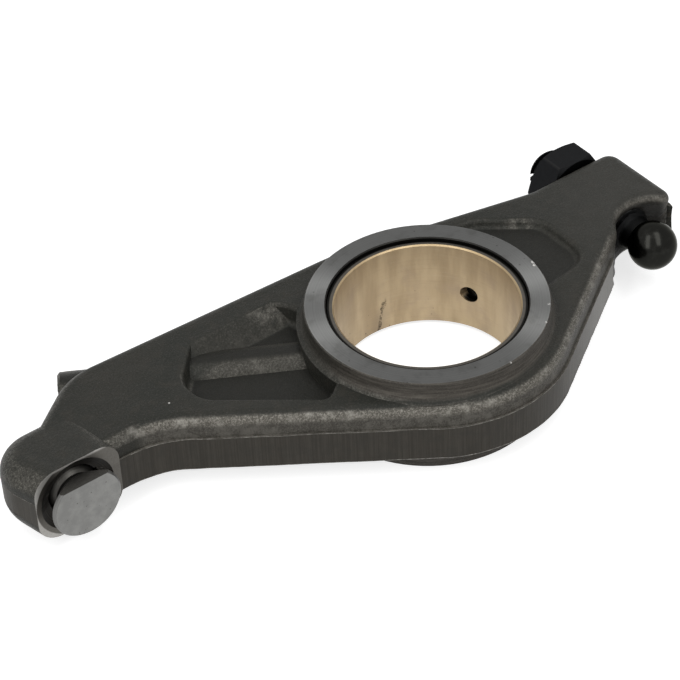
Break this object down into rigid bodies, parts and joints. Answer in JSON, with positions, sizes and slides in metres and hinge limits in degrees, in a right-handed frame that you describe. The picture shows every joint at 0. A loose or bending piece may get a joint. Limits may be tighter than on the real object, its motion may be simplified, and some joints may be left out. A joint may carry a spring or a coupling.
{
  "type": "rocker arm",
  "caption": "Valve rocker arm with a shaft hub and bronze bush, a ball-end adjusting screw with lock nut at the push-rod end and a swivel foot at the valve end.",
  "frame": {"origin": "centre of the shaft bore, halfway between the hub faces", "axes": "+Z along the shaft bore, +X towards the adjusting screw, +Y up in the engine, away from the valve and the push rod"},
  "size_m": [0.1668, 0.0727, 0.0234],
  "materials": {
    "forged_steel": "shot-blasted forging scale, dark olive grey",
    "bronze": "bored bronze, satin",
    "hardened_steel": "black, polished ball",
    "black_oxide_steel": "black oxide",
    "turned_steel": "ground face",
    "spring_steel": "drawn wire",
    "plug_steel": "turned"
  },
  "bodies": {
    "arm": {"arm_forging": "forged_steel", "shaft_bush": "bronze", "foot_retaining_ring": "spring_steel", "long_gallery_plug": "plug_steel", "short_gallery_plug": "plug_steel"},
    "screw": {"adjusting_screw": "hardened_steel"},
    "nut": {"lock_nut": "black_oxide_steel"},
    "foot": {"swivel_foot": "turned_steel"}
  },
  "joints": [
    {"name": "foot_tilt", "type": "hinge", "parent": "arm", "child": "foot", "pos_m": [-0.0841, 0.014, 0], "axis": [0, 0, 1], "range_deg": [-8, 8]},
    {"name": "screw_adjust", "type": "slide", "parent": "arm", "child": "screw", "axis": [0, -1, 0], "range_m": [0, 0.003]},
    {"name": "nut_turn", "type": "hinge", "parent": "arm", "child": "nut", "pos_m": [0.0598, 0.0239, 0], "axis": [0, 1, 0], "continuous": true}
  ]
}
